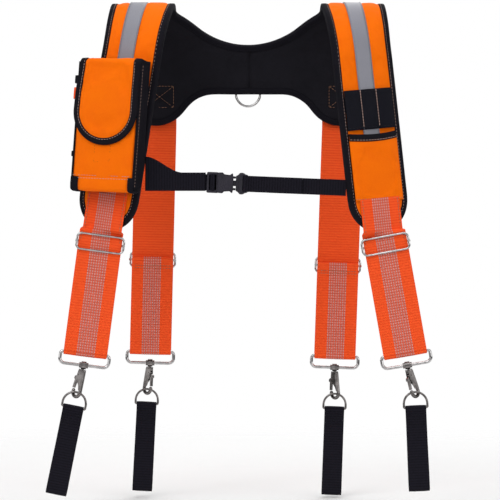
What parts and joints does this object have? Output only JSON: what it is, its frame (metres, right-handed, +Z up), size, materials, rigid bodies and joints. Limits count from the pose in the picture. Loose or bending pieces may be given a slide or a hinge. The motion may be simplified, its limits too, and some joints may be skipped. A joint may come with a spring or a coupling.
{
  "type": "padded tool belt braces",
  "caption": "Padded high-visibility tool belt braces: foam yoke, phone pouch, tool loops, buckled chest strap and adjustable webbing legs ending in snap hooks with belt loops.",
  "frame": {"origin": "middle of the back panel, on the face that lies against the wearer", "axes": "+Z up; +X to the right of someone facing the wearer; +Y away from the wearer's back"},
  "size_m": [0.4474, 0.1966, 0.594],
  "materials": {
    "cover_fabric": "high-visibility orange polyester",
    "foam": "closed-cell foam",
    "black_mesh": "black lining fabric",
    "black_binding": "black woven binding",
    "reflective": "silver reflective tape",
    "orange_webbing": "orange webbing with a reflective stripe",
    "black_webbing": "black webbing",
    "black_elastic": "black elastic",
    "hook_and_loop": "hook and loop patch",
    "black_plastic": "moulded acetal",
    "steel": "nickel-plated wire",
    "dark_steel": "gunmetal-plated casting"
  },
  "bodies": {
    "root": {"yoke_cover_left": "cover_fabric", "yoke_cover_right": "cover_fabric", "yoke_foam_left": "foam", "yoke_foam_right": "foam", "yoke_lining": "black_mesh", "edge_binding": "black_binding", "reflective_tape": "reflective", "webbing_anchors": "orange_webbing", "back_ring_tab": "black_webbing", "phone_pouch_shell": "cover_fabric", "pouch_closure_patch": "hook_and_loop", "tool_loops": "black_elastic", "slip_pocket": "cover_fabric", "chest_strap_left": "black_webbing", "chest_strap_right": "black_webbing", "buckle_socket": "black_plastic"},
    "back_ring": {"back_d_ring": "steel"},
    "flap_crown": {"pouch_flap_crown": "black_binding"},
    "flap_panel": {"pouch_flap_panel": "cover_fabric"},
    "buckle_plug": {"buckle_plug": "black_plastic", "chest_strap_tail": "black_webbing"},
    "buckle_arm_upper": {"buckle_arm_upper": "black_plastic"},
    "buckle_arm_lower": {"buckle_arm_lower": "black_plastic"},
    "leg_front_left": {"strap_main_front_left": "orange_webbing"},
    "carriage_front_left": {"strap_return_front_left": "orange_webbing", "square_ring_front_left": "steel"},
    "adjuster_front_left": {"adjuster_front_left": "steel"},
    "hook_eye_front_left": {"hook_eye_front_left": "dark_steel"},
    "hook_front_left": {"hook_body_front_left": "dark_steel"},
    "gate_front_left": {"hook_gate_front_left": "steel"},
    "loop_front_left": {"belt_ring_front_left": "steel", "belt_loop_front_left": "black_webbing"},
    "leg_front_right": {"strap_main_front_right": "orange_webbing"},
    "carriage_front_right": {"strap_return_front_right": "orange_webbing", "square_ring_front_right": "steel"},
    "adjuster_front_right": {"adjuster_front_right": "steel"},
    "hook_eye_front_right": {"hook_eye_front_right": "dark_steel"},
    "hook_front_right": {"hook_body_front_right": "dark_steel"},
    "gate_front_right": {"hook_gate_front_right": "steel"},
    "loop_front_right": {"belt_ring_front_right": "steel", "belt_loop_front_right": "black_webbing"},
    "leg_back_left": {"strap_main_back_left": "orange_webbing"},
    "carriage_back_left": {"strap_return_back_left": "orange_webbing", "square_ring_back_left": "steel"},
    "adjuster_back_left": {"adjuster_back_left": "steel"},
    "hook_eye_back_left": {"hook_eye_back_left": "dark_steel"},
    "hook_back_left": {"hook_body_back_left": "dark_steel"},
    "gate_back_left": {"hook_gate_back_left": "steel"},
    "loop_back_left": {"belt_ring_back_left": "steel", "belt_loop_back_left": "black_webbing"},
    "leg_back_right": {"strap_main_back_right": "orange_webbing"},
    "carriage_back_right": {"strap_return_back_right": "orange_webbing", "square_ring_back_right": "steel"},
    "adjuster_back_right": {"adjuster_back_right": "steel"},
    "hook_eye_back_right": {"hook_eye_back_right": "dark_steel"},
    "hook_back_right": {"hook_body_back_right": "dark_steel"},
    "gate_back_right": {"hook_gate_back_right": "steel"},
    "loop_back_right": {"belt_ring_back_right": "steel", "belt_loop_back_right": "black_webbing"}
  },
  "joints": [
    {"name": "back_ring_swing", "type": "hinge", "parent": "root", "child": "back_ring", "pos_m": [0, 0.01175, -0.024], "axis": [1, 0, 0], "range_deg": [0, 110]},
    {"name": "flap_open", "type": "hinge", "parent": "root", "child": "flap_crown", "pos_m": [-0.14687, -0.13404, 0.00217], "axis": [-0.92, 0.389, 0.0485], "range_deg": [0, 85]},
    {"name": "flap_unfold", "type": "hinge", "parent": "flap_crown", "child": "flap_panel", "pos_m": [-0.15812, -0.16087, 0.00393], "axis": [-0.92, 0.389, 0.0485], "range_deg": [0, 85]},
    {"name": "buckle_release", "type": "slide", "parent": "root", "child": "buckle_plug", "axis": [0.9992, 0, -0.0401], "range_m": [0, 0.022]},
    {"name": "buckle_squeeze_upper", "type": "hinge", "parent": "buckle_plug", "child": "buckle_arm_upper", "pos_m": [-0.01374, -0.1467, -0.13655], "axis": [0, -1, 0], "range_deg": [0, 8], "stiffness_Nm_per_rad": 0.05, "springref_deg": -2.86},
    {"name": "buckle_squeeze_lower", "type": "hinge", "parent": "buckle_plug", "child": "buckle_arm_lower", "pos_m": [-0.01427, -0.1467, -0.14994], "axis": [0, 1, 0], "range_deg": [0, 8], "stiffness_Nm_per_rad": 0.05, "springref_deg": -2.86},
    {"name": "leg_swing_front_left", "type": "hinge", "parent": "root", "child": "leg_front_left", "pos_m": [-0.16927, -0.13646, -0.19856], "axis": [-0.9816, -0.138, 0.1317], "range_deg": [-10, 30]},
    {"name": "length_front_left", "type": "slide", "parent": "leg_front_left", "child": "carriage_front_left", "axis": [-0.1304, -0.0183, -0.9913], "range_m": [0, 0.06]},
    {"name": "adjuster_slide_front_left", "type": "slide", "parent": "carriage_front_left", "child": "adjuster_front_left", "axis": [-0.1304, -0.0183, -0.9913], "range_m": [0, 0.06]},
    {"name": "hook_swing_front_left", "type": "hinge", "parent": "carriage_front_left", "child": "hook_eye_front_left", "pos_m": [-0.1901, -0.13605, -0.35338], "axis": [-0.9816, -0.138, 0.1317], "range_deg": [-40, 40]},
    {"name": "hook_swivel_front_left", "type": "hinge", "parent": "hook_eye_front_left", "child": "hook_front_left", "pos_m": [-0.1901, -0.13605, -0.35338], "axis": [0.2588, 0, 0.9659], "continuous": true},
    {"name": "gate_front_left", "type": "hinge", "parent": "hook_front_left", "child": "gate_front_left", "pos_m": [-0.19438, -0.13487, -0.36465], "axis": [-0.671, -0.7193, 0.1798], "range_deg": [0, 20], "stiffness_Nm_per_rad": 0.02, "springref_deg": -5.73},
    {"name": "loop_swing_front_left", "type": "hinge", "parent": "hook_front_left", "child": "loop_front_left", "pos_m": [-0.19846, -0.13605, -0.38458], "axis": [-0.9803, 0, 0.1977], "range_deg": [-25, 25]},
    {"name": "leg_swing_front_right", "type": "hinge", "parent": "root", "child": "leg_front_right", "pos_m": [0.15704, -0.13646, -0.19997], "axis": [-0.975, 0.137, -0.1751], "range_deg": [-10, 30]},
    {"name": "length_front_right", "type": "slide", "parent": "leg_front_right", "child": "carriage_front_right", "axis": [0.1734, -0.0244, -0.9846], "range_m": [0, 0.06]},
    {"name": "adjuster_slide_front_right", "type": "slide", "parent": "carriage_front_right", "child": "adjuster_front_right", "axis": [0.1734, -0.0244, -0.9846], "range_m": [0, 0.06]},
    {"name": "hook_swing_front_right", "type": "hinge", "parent": "carriage_front_right", "child": "hook_eye_front_right", "pos_m": [0.1845, -0.13698, -0.35328], "axis": [-0.975, 0.137, -0.1751], "range_deg": [-40, 40]},
    {"name": "hook_swivel_front_right", "type": "hinge", "parent": "hook_eye_front_right", "child": "hook_front_right", "pos_m": [0.1845, -0.13698, -0.35328], "axis": [-0.2756, 0, 0.9613], "continuous": true},
    {"name": "gate_front_right", "type": "hinge", "parent": "hook_front_right", "child": "gate_front_right", "pos_m": [0.18671, -0.13825, -0.36513], "axis": [0.7144, -0.6691, 0.2048], "range_deg": [0, 20], "stiffness_Nm_per_rad": 0.02, "springref_deg": -5.73},
    {"name": "loop_swing_front_right", "type": "hinge", "parent": "hook_front_right", "child": "loop_front_right", "pos_m": [0.1934, -0.13698, -0.38433], "axis": [-0.999, 0, -0.0436], "range_deg": [-25, 25]},
    {"name": "leg_swing_back_left", "type": "hinge", "parent": "root", "child": "leg_back_left", "pos_m": [-0.113, 0.00925, -0.069], "axis": [0.9997, 0, -0.0236], "range_deg": [-10, 30]},
    {"name": "length_back_left", "type": "slide", "parent": "leg_back_left", "child": "carriage_back_left", "axis": [-0.0236, 0, -0.9997], "range_m": [0, 0.05]},
    {"name": "adjuster_slide_back_left", "type": "slide", "parent": "carriage_back_left", "child": "adjuster_back_left", "axis": [-0.0236, 0, -0.9997], "range_m": [0, 0.05]},
    {"name": "hook_swing_back_left", "type": "hinge", "parent": "carriage_back_left", "child": "hook_eye_back_left", "pos_m": [-0.11983, 0.00595, -0.358], "axis": [0.9997, 0, -0.0236], "range_deg": [-40, 40]},
    {"name": "hook_swivel_back_left", "type": "hinge", "parent": "hook_eye_back_left", "child": "hook_back_left", "pos_m": [-0.11983, 0.00595, -0.358], "axis": [0.1045, 0, 0.9945], "continuous": true},
    {"name": "gate_back_left", "type": "hinge", "parent": "hook_back_left", "child": "gate_back_left", "pos_m": [-0.11991, 0.00473, -0.37005], "axis": [0.7154, 0.6947, -0.0752], "range_deg": [0, 20], "stiffness_Nm_per_rad": 0.02, "springref_deg": -5.73},
    {"name": "loop_swing_back_left", "type": "hinge", "parent": "hook_back_left", "child": "loop_back_left", "pos_m": [-0.12321, 0.00595, -0.39012], "axis": [0.9987, 0, -0.0506], "range_deg": [-25, 25]},
    {"name": "leg_swing_back_right", "type": "hinge", "parent": "root", "child": "leg_back_right", "pos_m": [0.116, 0.00925, -0.069], "axis": [0.9994, 0, -0.0345], "range_deg": [-10, 30]},
    {"name": "length_back_right", "type": "slide", "parent": "leg_back_right", "child": "carriage_back_right", "axis": [-0.0345, 0, -0.9994], "range_m": [0, 0.05]},
    {"name": "adjuster_slide_back_right", "type": "slide", "parent": "carriage_back_right", "child": "adjuster_back_right", "axis": [-0.0345, 0, -0.9994], "range_m": [0, 0.05]},
    {"name": "hook_swing_back_right", "type": "hinge", "parent": "carriage_back_right", "child": "hook_eye_back_right", "pos_m": [0.10582, 0.00595, -0.36359], "axis": [0.9994, 0, -0.0345], "range_deg": [-40, 40]},
    {"name": "hook_swivel_back_right", "type": "hinge", "parent": "hook_eye_back_right", "child": "hook_back_right", "pos_m": [0.10582, 0.00595, -0.36359], "axis": [-0.0175, 0, 0.9998], "continuous": true},
    {"name": "gate_back_right", "type": "hinge", "parent": "hook_back_right", "child": "gate_back_right", "pos_m": [0.10484, 0.00717, -0.37561], "axis": [-0.7192, -0.6947, -0.0126], "range_deg": [0, 20], "stiffness_Nm_per_rad": 0.02, "springref_deg": -5.73},
    {"name": "loop_swing_back_right", "type": "hinge", "parent": "hook_back_right", "child": "loop_back_right", "pos_m": [0.10638, 0.00595, -0.39589], "axis": [0.9993, 0, -0.0366], "range_deg": [-25, 25]}
  ],
  "couplings": [
    {"joint": "flap_unfold", "follows": "flap_open", "ratio": 1},
    {"joint": "buckle_squeeze_lower", "follows": "buckle_squeeze_upper", "ratio": 1},
    {"joint": "adjuster_slide_front_left", "follows": "length_front_left", "ratio": 1},
    {"joint": "adjuster_slide_front_right", "follows": "length_front_right", "ratio": 1},
    {"joint": "adjuster_slide_back_left", "follows": "length_back_left", "ratio": 1},
    {"joint": "adjuster_slide_back_right", "follows": "length_back_right", "ratio": 1}
  ]
}
